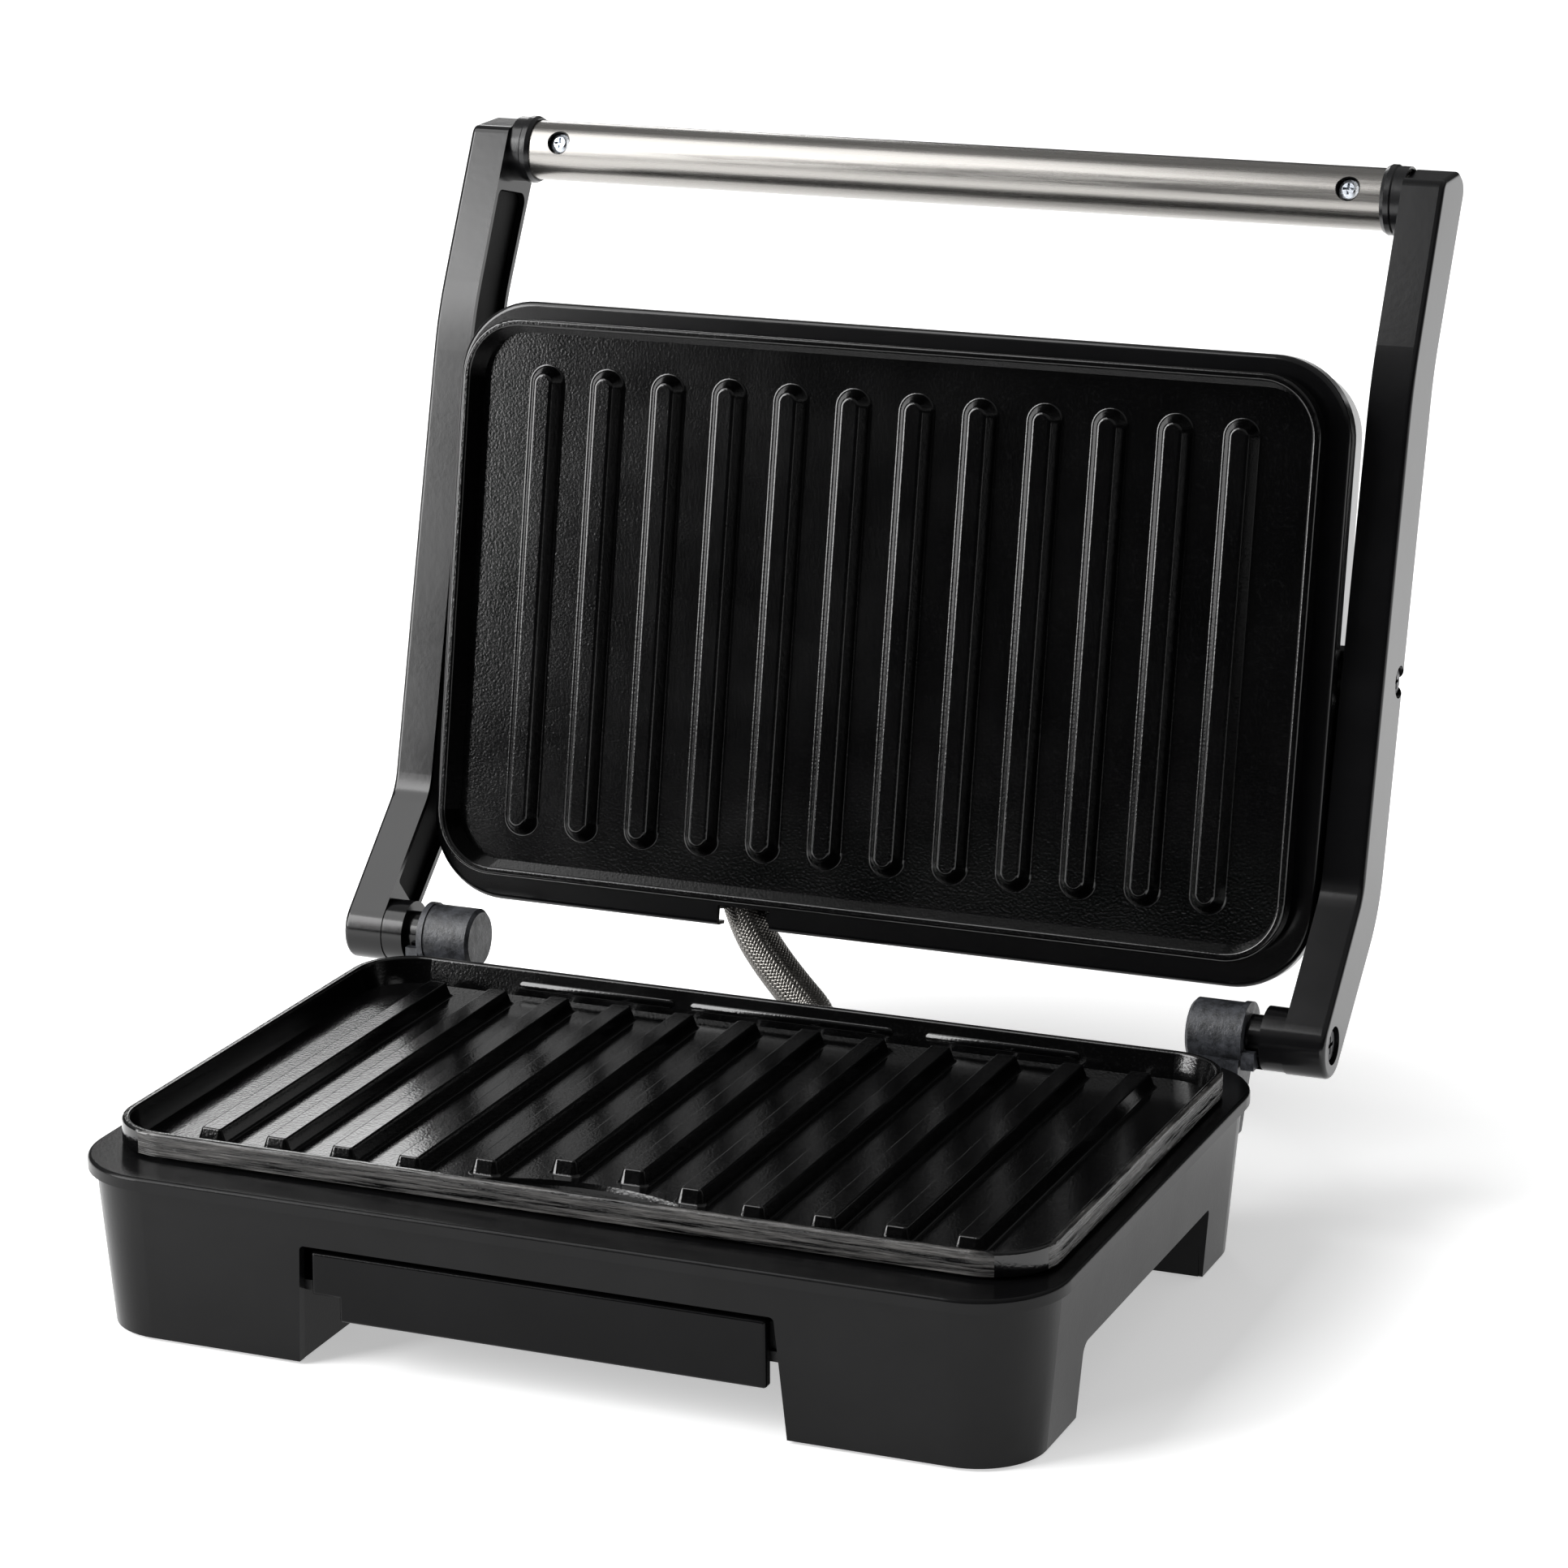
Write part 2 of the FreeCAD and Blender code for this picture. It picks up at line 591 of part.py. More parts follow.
EX, EY = 88.0, 48.0
ELEMENT = [(10, -EY, 0), (EX, -EY, 0), (EX, EY, 0), (-EX, EY, 0), (-EX, -EY, 0), (-10, -EY, 0)]
for label, z in (("lower_element", D["floor_level"] - D["plate_floor"] - 2.1), ("upper_element", None)):
    shape = tube(tube_path(ELEMENT, [22, 22, 22, 22]), 3.0)
    f = feature(label, shape)
    if z is not None:
        f.Placement = FreeCAD.Placement(V(0, 0, z), FreeCAD.Rotation())
    else:
        lid_put(f, 0, 0, -D["plate_floor"] - 2.1)

for label in ("lower_reflector", "upper_reflector"):
    b = body(label)
    s = sketch(b, "XY_Plane", 0)
    rrect(s, 108.0, 62.0, 12.0)
    pad(b, s, 3.4)
    s = sketch(b, "XY_Plane", 0.7)
    rrect(s, 107.3, 61.3, 11.3)
    pocket(b, s, 4.0, rev=True)
    for sx in (-1, 1):
        for sy in (-1, 1):
            s = sketch(b, "XY_Plane", 0, x=d("post_across") * sx, y=d("post_along") * sy)
            circle(s, 1.6)
            pocket(b, s, 3.0, rev=True)
    if label == "lower_reflector":
        s = sketch(b, "XY_Plane", 0, y=-58.5)
        rect(s, 24.0, 5.0)
        pocket(b, s, 5.0, rev=True)
        put(b, (0, 0, d("floor_level") - d("plate_floor") - 9.4))
    else:
        lid_put(b, 0, 0, -D["plate_floor"] - 9.4)

# ---------------------------------------------------------------- thermostat, thermal fuse, terminal block
b = body("thermostat")
s = sketch(b, "XY_Plane", 0)
circle(s, 8.0)
pad(b, s, 5.0)
s = sketch(b, "XY_Plane", 0)
rect(s, 12.0, 3.0)
pad(b, s, 0.8)
s = sketch(b, "XY_Plane", 5.0)
rect(s, 6.0, 4.0)
pad(b, s, 0.6)
put(b, (0, 10.0, d("floor_level") - d("plate_floor") - 8.1))
b = body("thermal_fuse")
s = sketch(b, "YZ_Plane", -9.0)
circle(s, 2.1)
pad(b, s, 18.0)
put(b, (-45.0, 20.0, d("floor_level") - d("plate_floor") - 5.6))
b = body("terminal_block")
s = sketch(b, "XY_Plane", 0)
rect(s, 14.0, 6.0)
pad(b, s, 8.0)
for x in (-8.0, 0.0, 8.0):
    s = sketch(b, "XY_Plane", 8.0, x=x)
    circle(s, 1.6)
    pocket(b, s, 4.0)
put(b, (-40.0, 62.0, d("cover_level") + d("cover_thick")))


# ---------------------------------------------------------------- screws
def screw(label, head_r, head_h, shank_r, shank_l, cross=True):
    b = body(label)
    revolve(b, [(0, 0), (head_r * 0.62, 0), (head_r, -head_h * 0.45), (head_r, -head_h), (shank_r, -head_h),
                (shank_r, -head_h - shank_l + shank_r * 0.6), (shank_r * 0.4, -head_h - shank_l), (0, -head_h - shank_l)])
    if cross:
        for a in (0, 1):
            s = sketch(b, "XY_Plane", 0)
            hw, hd = (head_r * 0.58, head_r * 0.13) if a == 0 else (head_r * 0.13, head_r * 0.58)
            rect(s, hw, hd)
            pocket(b, s, min(head_h * 0.55, 1.2))
    return b


DOWN = FreeCAD.Rotation(V(1, 0, 0), 180)
for i, (sx, sy) in enumerate(((-1, -1), (1, -1), (-1, 1), (1, 1))):
    b = screw("base_screw_%d" % (i + 1), 3.2, 1.8, 1.5, 9.0)
    b.Placement = FreeCAD.Placement(V(sx * 100.0, sy * 40.0, D["cover_level"] - 1.8), DOWN)

for i, (sx, sy) in enumerate(((-1, -1), (1, -1), (-1, 1), (1, 1))):
    b = screw("plate_screw_%d" % (i + 1), 3.0, 1.7, 1.4, 7.0)
    b.Placement = FreeCAD.Placement(V(sx * D["post_across"], sy * D["post_along"], D["floor_level"] - D["plate_floor"] - 9.4 - 1.75), DOWN)

# ---------------------------------------------------------------- rubber feet
for label, sx, sy in (("foot_front_left", -1, -1), ("foot_front_right", 1, -1), ("foot_rear_left", -1, 1), ("foot_rear_right", 1, 1)):
    b = body(label)
    s = sketch(b, "XY_Plane", 0)
    circle(s, d("foot_radius"))
    pad(b, s, d("foot_height"))
    fillet(b, 0.4, at_z(0.0), "Chamfer")
    put(b, (sx * 96.0, sy * 70.0, 0))

# ---------------------------------------------------------------- hinge knuckles on the base
HB, HL = d("hinge_back"), d("hinge_level")
for label, sx in (("hinge_knuckle_left", -1), ("hinge_knuckle_right", 1)):
    b = body(label)
    x0, x1 = D["knuckle_inner"], D["knuckle_outer"]
    lo = x0 if sx > 0 else -x1
    s = sketch(b, "YZ_Plane", lo)
    circle(s, d("knuckle_radius"))
    pad(b, s, x1 - x0)
    # foot plate down the rear of the base
    s = sketch(b, "YZ_Plane", 100.6 if sx > 0 else -113.9)
    outline(s, [(87.0 - HB.v, -24.0), (91.5 - HB.v, -24.0), (100.2 - HB.v, -6.5), (97.0 - HB.v, 0), (88.6 - HB.v, 0), (88.6 - HB.v, -4.2), (87.0 - HB.v, -4.2)])
    pad(b, s, 13.3)
    # turned end ring and bevelled inner end
    e0 = x1 if sx > 0 else -x1
    fillet(b, 0.9, lambda e: abs(abs(box(e).XMin) - x0) < 0.01 and abs(abs(box(e).XMax) - x0) < 0.01 and box(e).ZMax > 5, "Chamfer")
    # thin raised ring at the outer end
    s = sketch(b, "YZ_Plane", x1 - 1.6 if sx > 0 else -x1)
    circle(s, d("knuckle_radius") + 0.4)
    pad(b, s, 1.6)
    # hole and counterbore of the bracket screw
    for off, r in ((96.0 - 80.0, 1.6), (HB.v - 91.4, 3.1)):
        s = sketch(b, "XZ_Plane", off, x=sx * 106.75, y=30.0 - HL.v)
        circle(s, r)
        pocket(b, s, 25.0)
    # stop tab that reaches across the gap to the arm's neck
    s = sketch(b, "YZ_Plane", x1 if sx > 0 else -x1 - 3.4)
    outline(s, [(-8.0, -6.6), (-3.9, -6.6), (-6.0, -1.9), (-8.0, -1.9)])
    pad(b, s, 3.4)
    s = sketch(b, "YZ_Plane", x1 + 0.2 if sx > 0 else -x1 - 0.2)
    circle(s, d("hinge_shank"))
    pocket(b, s, 10.0, rev=(sx < 0))
    put(b, (0, HB, HL))
    b = screw("bracket_screw_" + ("left" if sx < 0 else "right"), 2.8, 1.7, 1.5, 8.5)
    b.Placement = FreeCAD.Placement(V(sx * 106.75, 93.2, 30.0), FreeCAD.Rotation(V(1, 0, 0), -90))

# ---------------------------------------------------------------- arms
KF, BF, TFR = (118.6, 80.6), (150.7, 205.1), (175.4, 252.7)      # front edge: knee, bend, top
KR, BR, TRR = (135.4, 70.9), (171.9, 204.6), (196.6, 248.9)      # rear edge: knee, bend, top


def tangent_point(px, py, cx, cy, r, side):
    dx, dy = px - cx, py - cy
    dist = math.hypot(dx, dy)
    a = math.acos(r / dist)
    base = math.atan2(dy, dx)
    t = base + side * a
    return (cx + r * math.cos(t), cy + r * math.sin(t))


R0 = D["arm_end_radius"]
fa = tangent_point(KF[0], KF[1], HB.v, HL.v, R0, 1)
ra = tangent_point(KR[0], KR[1], HB.v, HL.v, R0, -1)
ARM = [fa, KF, BF, TFR, (190.4, 253.1), TRR, BR, KR, ra]
ARM_R = [0, 14.0, 85.0, 3.0, 4.0, 4.5, 60.0, 34.0, 0]


def arm_outline(s, inset=0.0, lower_cut=None):
    """The arm's side outline, moved inward by inset; the lower end follows the hinge circle."""
    pts = []
    n = len(ARM)
    if inset == 0:
        pts, rad = list(ARM), list(ARM_R)
        up = V(0, 0, 1)
        # close round the hinge circle instead of with a chord
        a_rear = math.atan2(ra[1] - HL.v, ra[0] - HB.v)
        a_front = math.atan2(fa[1] - HL.v, fa[0] - HB.v)
        mid = (a_rear + a_front) / 2 - math.pi if a_front > a_rear else (a_rear + a_front) / 2
        outline_open(s, pts, rad, (HB.v + R0 * math.cos(mid), HL.v + R0 * math.sin(mid)))
        return
    core = [lower_cut[0], KF, BF, (168.0, 238.7), (188.2, 234.2), BR, KR, lower_cut[1]]
    rad0 = [0, ARM_R[1], ARM_R[2], 2.5, 2.5, ARM_R[6], ARM_R[7], 0]
    m = len(core)
    for i in range(m):
        p, a, c = core[i], core[i - 1], core[(i + 1) % m]
        e1 = (p[0] - a[0], p[1] - a[1])
        e2 = (c[0] - p[0], c[1] - p[1])
        l1, l2 = math.hypot(*e1), math.hypot(*e2)
        # the outline runs clockwise: inward is to the right of the travel
        n1 = (e1[1] / l1, -e1[0] / l1)
        n2 = (e2[1] / l2, -e2[0] / l2)
        bx, by = n1[0] + n2[0], n1[1] + n2[1]
        kk = inset * 2 / (bx * bx + by * by)
        pts.append((p[0] + bx * kk, p[1] + by * kk))
    rad = []
    for i, r in enumerate(rad0):
        if r == 0:
            rad.append(1.0 if i in (0, m - 1) else 0)
        elif i in (1, 5):
            rad.append(r + inset)
        elif i in (2, 6):
            rad.append(r - inset)
        else:
            rad.append(r)
    outline(s, pts, rad)


def cut_at(dist):
    """Points on the arm's front and rear edges at the same distance from the hinge."""
    ax, ay = (KF[0] + KR[0]) / 2 - HB.v, (KF[1] + KR[1]) / 2 - HL.v
    ln = math.hypot(ax, ay)
    out = []
    for a, c in ((fa, KF), (ra, KR)):
        da = ((a[0] - HB.v) * ax + (a[1] - HL.v) * ay) / ln
        dc = ((c[0] - HB.v) * ax + (c[1] - HL.v) * ay) / ln
        k = (dist - da) / (dc - da)
        out.append((a[0] + (c[0] - a[0]) * k, a[1] + (c[1] - a[1]) * k))
    return tuple(out)


def outline_open(s, pts, radii, via):
    """Outline whose first and last points are joined by the arc through via."""
    n = len(pts)
    geo = []
    last = V(pts[0][0], pts[0][1], 0)
    for i in range(1, n - 1):
        p = V(pts[i][0], pts[i][1], 0)
        u = V(pts[i - 1][0], pts[i - 1][1], 0) - p
        w = V(pts[i + 1][0], pts[i + 1][1], 0) - p
        u.normalize()
        w.normalize()
        ang = math.acos(max(-1, min(1, u.dot(w))))
        r = radii[i]
        t = r / math.tan(ang / 2)
        m = u + w
        m.normalize()
        ctr = p + m * (r / math.sin(ang / 2))
        geo.append(Part.LineSegment(last, p + u * t))
        geo.append(Part.Arc(p + u * t, ctr - m * r, p + w * t))
        last = p + w * t
    end = V(pts[-1][0], pts[-1][1], 0)
    geo.append(Part.LineSegment(last, end))
    geo.append(Part.Arc(end, V(via[0], via[1], 0), V(pts[0][0], pts[0][1], 0)))
    s.addGeometry(geo, False)


lean = math.radians(D["lid_lean"])
PIVOT = (LCY.v + D["pivot_along"] * math.sin(lean) - D["pivot_depth"] * math.cos(lean),
         LCZ.v + D["pivot_along"] * math.cos(lean) + D["pivot_depth"] * math.sin(lean))
HY, HZ = D["handle_back"], D["handle_level"]
AI, AT = D["arm_inner"], D["arm_thick"]
TILT = math.radians(D["handle_screw_tilt"])
AU, AN = (0.2634, 0.9647), (0.9647, -0.2634)       # along the arm at the pivot, and rearward across it


def at_pivot(along, across):
    return (PIVOT[0] + AU[0] * along + AN[0] * across, PIVOT[1] + AU[1] * along + AN[1] * across)


PIVOT_SEAT = [at_pivot(6.6, -6.6), at_pivot(-6.6, -6.6), at_pivot(-6.6, 3.0), at_pivot(6.6, 3.0)]


def span(sx, a, c):
    """Lower x and length of the stretch from a to c on the side sx."""
    return (a, c - a) if sx > 0 else (-c, c - a)


for side, sx in (("left", -1), ("right", 1)):
    b = body("arm_" + side)
    x0, ln = span(sx, AI, AI + AT)
    s = sketch(b, "YZ_Plane", x0)
    arm_outline(s)
    pad(b, s, d("arm_thick"))
    outer = AI + AT
    fillet(b, 1.3, lambda e: abs(abs(box(e).XMin) - outer) < 0.01 and abs(abs(box(e).XMax) - outer) < 0.01)
    # inner recess, with the hinge end and the pivot seat left solid
    x0, ln = span(sx, AI, AI + AT - D["arm_wall"])
    s = sketch(b, "YZ_Plane", x0)
    arm_outline(s, D["arm_rim"], cut_at(9.0))
    pocket(b, s, ln, rev=True)
    # pivot seat, hinge boss and neck, spigot for the handle tube
    x0, ln = span(sx, AI + D["arm_recess"], outer - 1.0)
    s = sketch(b, "YZ_Plane", x0)
    outline(s, PIVOT_SEAT, [2.0, 2.0, 0, 0])
    pad(b, s, ln)
    for cy, cz, r, a, c in ((HB.v, HL.v, D["boss_radius"], D["boss_inner"], AI + 0.5),
                            (HB.v, HL.v, 5.6, D["knuckle_outer"] + 0.35, D["boss_inner"] + 0.5),
                            (HY, HZ, 6.65, 103.0, AI + 0.5)):
        x0, ln = span(sx, a, c)
        s = sketch(b, "YZ_Plane", x0, x=cy, y=cz)
        circle(s, r)
        pad(b, s, ln)
    # stop lug on the neck, behind the tab of the base knuckle
    x0, ln = span(sx, D["knuckle_outer"] + 0.35, D["boss_inner"] + 0.5)
    s = sketch(b, "YZ_Plane", x0, x=HB, y=HL)
    outline(s, [(-3.5, -4.2), (2.6, -4.2), (2.6, -7.4), (-3.5, -7.4)])
    pad(b, s, ln)
    # bores: hinge and pivot shanks run in them, screw heads sit in outer counterbores
    for cy, cz, shank in ((HB.v, HL.v, D["hinge_shank"]), (PIVOT[0], PIVOT[1], 2.5)):
        x0, ln = span(sx, 110.0, outer + 1)
        s = sketch(b, "YZ_Plane", x0, x=cy, y=cz)
        circle(s, shank + D["running_gap"])
        pocket(b, s, ln, rev=True)
        x0, ln = span(sx, outer - 3.2, outer + 1)
        s = sketch(b, "YZ_Plane", x0, x=cy, y=cz)
        circle(s, 4.9 if cy == HB.v else 4.2)
        pocket(b, s, ln, rev=True)
    # seat of the handle screw in the spigot
    if True:
        nrm = V(0, -math.cos(TILT), math.sin(TILT))
        for r, depth0, depth1 in ((3.3, 5.6, 12.0), (1.15, -4.0, 12.0)):
            s = b.newObject("Sketcher::SketchObject", "seat_sketch")
            face = [f for f in b.Origin.OriginFeatures if f.Role == "XZ_Plane"][0]
            s.AttachmentSupport = [(face, "")]
            s.MapMode = "FlatFace"
            rot = FreeCAD.Rotation(V(1, 0, 0), -D["handle_screw_tilt"])
            # the plane's own frame has x along X, y along Z and its normal along -Y
            world = V(sx * D["handle_screw_x"], HY, HZ) + nrm * depth0
            s.AttachmentOffset = FreeCAD.Placement(V(world.x, world.z, -world.y), rot)
            circle(s, r)
            pocket(b, s, depth1 - depth0, rev=True)

    # inner cover: a plate a little below the arm's inner edges
    b = body("arm_cover_" + side)
    x0, ln = span(sx, AI + D["arm_recess"], AI + D["arm_recess"] + D["arm_cover_thick"])
    s = sketch(b, "YZ_Plane", x0)
    arm_outline(s, D["arm_rim"] + 0.15, cut_at(9.0))
    pad(b, s, ln)
    s = sketch(b, "YZ_Plane", x0 - 1)
    outline(s, [at_pivot(6.8, -6.8), at_pivot(-6.8, -6.8), at_pivot(-6.8, 3.0), at_pivot(6.8, 3.0)], [2.2, 2.2, 0, 0])
    pocket(b, s, ln + 2, rev=True)

    # stepped collar where the handle tube meets the arm
    b = body("handle_collar_" + side)
    revolve(b, [(8.15, 0), (8.75, 0), (8.75, 3.0), (9.1, 3.4), (9.1, 4.8), (8.6, 5.8), (8.15, 5.8)])
    b.Placement = FreeCAD.Placement(V(sx * AI, HY, HZ), FreeCAD.Rotation(V(0, 1, 0), -90 * sx))

    # shoulder screws: hinge (fixed in the base knuckle) and lid pivot (fixed in the lid's boss)
    for nm, cy, cz, hr, sr, tip in (("hinge_screw_", HB.v, HL.v, 4.2, D["hinge_shank"], 105.5), ("pivot_screw_", PIVOT[0], PIVOT[1], 3.6, 2.5, 113.0)):
        b = body(nm + side)
        top = AI + AT - 0.9
        under = AI + AT - 3.2 + 0.1
        revolve(b, [(0, 0), (hr - 0.5, 0), (hr, -0.6), (hr, -(top - under)), (sr, -(top - under)), (sr, -(top - tip) + 0.6), (sr - 0.6, -(top - tip)), (0, -(top - tip))])
        for a in (0, 1):
            s = sketch(b, "XY_Plane", 0)
            rect(s, *((hr * 0.55, hr * 0.12) if a == 0 else (hr * 0.12, hr * 0.55)))
            pocket(b, s, 1.0)
        b.Placement = FreeCAD.Placement(V(sx * top, cy, cz), FreeCAD.Rotation(V(0, 1, 0), 90 * sx))

# ---------------------------------------------------------------- handle tube and its screws
b = body("handle_tube")
s = sketch(b, "YZ_Plane", -d("tube_half_length"))
circle(s, d("tube_radius"))
circle(s, d("tube_radius") - d("tube_wall"))
pad(b, s, d("tube_half_length") * 2)
for sx in (-1, 1):
    nrm = V(0, -math.cos(TILT), math.sin(TILT))
    s = b.newObject("Sketcher::SketchObject", "dimple_sketch")
    face = [f for f in b.Origin.OriginFeatures if f.Role == "XZ_Plane"][0]
    s.AttachmentSupport = [(face, "")]
    s.MapMode = "FlatFace"
    s.AttachmentOffset = FreeCAD.Placement(V(sx * D["handle_screw_x"], nrm.z * 4.5, -nrm.y * 4.5), FreeCAD.Rotation(V(1, 0, 0), -D["handle_screw_tilt"]))
    circle(s, 3.25)
    pocket(b, s, 8.0, rev=True)
put(b, (0, d("handle_back"), d("handle_level")))
for side, sx in (("left", -1), ("right", 1)):
    b = screw("handle_screw_" + side, 2.6, 1.7, 1.1, 7.6)
    base = V(sx * D["handle_screw_x"], HY, HZ) + V(0, -math.cos(TILT), math.sin(TILT)) * 7.4
    b.Placement = FreeCAD.Placement(base, FreeCAD.Rotation(V(1, 0, 0), 90 - D["handle_screw_tilt"]))

# ---------------------------------------------------------------- lid frame
LT, LB = D["lip_top"], D["lip_bottom"]
LC = (LT - LB) / 2
b = body("lid_frame")
s = sketch(b, "XY_Plane", d("lip_back"), y=LC)
rrect(s, d("lip_half_width"), (LT + LB) / 2, d("lip_corner"))
pad(b, s, d("lip_front") - d("lip_back"))
fillet(b, 1.4, at_z(D["lip_front"]))
s = sketch(b, "XY_Plane", d("lip_front"))
rrect(s, d("plate_half_width") - 1.75, d("plate_half_depth") - 1.75, 14.2)
pocket(b, s, 8.0)
# notch at the rear edge for the conduit
s = sketch(b, "XY_Plane", 0, x=-31.6, y=-82.0)
rect(s, 7.4, 5.5)
pocket(b, s, 12.0)
s = sketch(b, "XY_Plane", -4.3, x=-37.0, y=-71.5)
rect(s, 8.5, 9.5)
pocket(b, s, 8.0)
lid_put(b)

# ---------------------------------------------------------------- lid cover
b = body("lid_cover")
s = sketch(b, "XY_Plane", d("lip_back"), y=LC)
rrect(s, d("lid_cover_half_width"), (LT + LB) / 2 - 1.5, 19.5)
pad(b, s, d("lip_back") - d("lid_back"), rev=True, taper=5.0)
fillet(b, 7.0, at_z(D["lid_back"]))
s = sketch(b, "XY_Plane", d("lip_back"), y=LC)
rrect(s, d("lid_cover_half_width") - 2.4, (LT + LB) / 2 - 3.9, 17.1)
pocket(b, s, d("lip_back") - d("lid_back") - 2.5, taper=5.0)
# flat pads on the sides for the pivots
for sx in (-1, 1):
    x0, ln = span(sx, 112.0, 122.2)
    s = sketch(b, "YZ_Plane", x0, x=D["pivot_along"], y=D["pivot_depth"])
    circle(s, 8.0)
    pad(b, s, ln)
    x0, ln = span(sx, 111.0, 123.5)
    s = sketch(b, "YZ_Plane", x0, x=D["pivot_along"], y=D["pivot_depth"])
    circle(s, 2.5)
    pocket(b, s, ln, rev=True)
# raised side panels below the pivots
for sx in (-1, 1):
    x0, ln = span(sx, 118.0, 124.2)
    s = sketch(b, "YZ_Plane", x0)
    outline(s, [(-9.0, -27.0), (-9.0, -15.0), (-62.0, -10.5), (-62.0, -24.5)], [1.5, 1.5, 4.0, 4.0])
    pad(b, s, ln)
# opening for the conduit in the rear wall, seats of the two indicator lenses
s = sketch(b, "XY_Plane", d("lip_back") + 1, x=-36.0, y=-78.0)
rect(s, 8.8, 8.0)
pocket(b, s, 13.2)
for x in (-9.0, 9.0):
    s = sketch(b, "XY_Plane", d("lid_back") - 1, x=x, y=52.0)
    circle(s, 3.1)
    pocket(b, s, 6.0, rev=True)
lid_put(b)

# ---------------------------------------------------------------- lid pivot bosses
for side, sx in (("left", -1), ("right", 1)):
    b = body("pivot_boss_" + side)
    revolve(b, [(2.5, 0), (6.0, 0), (6.0, 2.4), (2.5, 2.4)])
    b.Placement = FreeCAD.Placement(V(sx * 122.2, PIVOT[0], PIVOT[1]), FreeCAD.Rotation(V(0, 1, 0), 90 * sx))

# ---------------------------------------------------------------- indicator lenses, lid screws
for label, x in (("lens_power", -9.0), ("lens_ready", 9.0)):
    b = body(label)
    revolve(b, [(0, 0.9), (2.2, 0.7), (3.6, 0.1), (3.6, 0), (3.0, 0), (3.0, -3.4), (0, -3.4)])
    lid_put(b, x, 52.0, D["lid_back"], FreeCAD.Rotation(V(1, 0, 0), 180))
for i, (sx, sy) in enumerate(((-1, -1), (1, -1), (-1, 1), (1, 1))):
    b = screw("lid_screw_%d" % (i + 1), 3.0, 1.7, 1.4, 7.0)
    lid_put(b, sx * D["post_across"], sy * D["post_along"], -D["plate_floor"] - 9.4 - 1.75, FreeCAD.Rotation(V(1, 0, 0), 180))

# ---------------------------------------------------------------- conduit, ferrules, supply gland
C_IN = V(-37.9, 126.3, 62.5)
C_OUT = V(-34.9, 125.2, 52.4)
b = body("conduit_ferrule_base")
revolve(b, [(0, -8.0), (3.6, -8.0), (3.6, 1.2), (8.0, 1.2), (8.0, 6.2), (7.0, 7.2), (7.0, 11.5), (5.9, 11.5), (5.9, 7.0), (0, 7.0)])
b.Placement = FreeCAD.Placement(V(-6.5, 83.6, 24.9), FreeCAD.Rotation(V(1, 0, 0), -90))
path = [(-6.5, 90.7, 24.9), (-6.5, 118.0, 24.9), (-25.5, 123.0, 40.5), (C_OUT.x, C_OUT.y, C_OUT.z), (C_IN.x, C_IN.y, C_IN.z)]
cond = tube(tube_path(path, [17.0, 40.0, 30.0]), 5.6, 4.2)
feature("conduit", cond)
b = body("conduit_ferrule_lid")
revolve(b, [(5.9, 0), (6.6, 0), (6.6, 6.0), (5.9, 6.0)])
dirv = C_OUT - C_IN
dirv.normalize()
b.Placement = FreeCAD.Placement(C_IN - dirv * 0.2, FreeCAD.Rotation(V(0, 0, 1), dirv))
b = body("supply_gland")
revolve(b, [(3.4, -7.0), (5.0, -7.0), (5.0, 1.2), (8.2, 1.2), (8.2, 5.0), (6.2, 6.0), (5.2, 16.0), (3.4, 16.0)])
b.Placement = FreeCAD.Placement(V(-48.0, 83.8, 27.0), FreeCAD.Rotation(V(1, 0, 0), -90))

# ---------------------------------------------------------------- row origin
# the row's origin lies on the ground under the middle of the whole press
for o in bodies:
    old = dict((k.lstrip("."), e) for k, e in o.ExpressionEngine).get("Placement.Base.y")
    place = o.Placement
    expr = old if old else "(%r)" % place.Base.y
    place.Base = place.Base - V(0, D["row_shift"], 0)
    o.Placement = place
    o.setExpression("Placement.Base.y", "%s - dims.row_shift" % expr)

# ---------------------------------------------------------------- check and write
doc.recompute()
for o in doc.Objects:
    bad = [w for w in ("Invalid", "Error") if w in o.State]
    if bad:
        raise RuntimeError("%s is %s" % (o.Label, ",".join(bad)))
for o in bodies:
    if o.Shape.isNull() or not o.Shape.isValid() or not o.Shape.Solids:
        raise RuntimeError("bad shape: " + o.Label)
os.makedirs("parts", exist_ok=True)
for o in bodies:
    o.Shape.exportStep("parts/%s.step" % o.Label)
    bb = o.Shape.BoundBox
    print("%-24s solids %d vol %9.1f  x %.1f..%.1f y %.1f..%.1f z %.1f..%.1f" % (
        o.Label, len(o.Shape.Solids), o.Shape.Volume, bb.XMin, bb.XMax, bb.YMin, bb.YMax, bb.ZMin, bb.ZMax))
print("parts:", len(bodies))
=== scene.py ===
import json
import math
import random

import bmesh
import bpy
from mathutils import Matrix, Vector


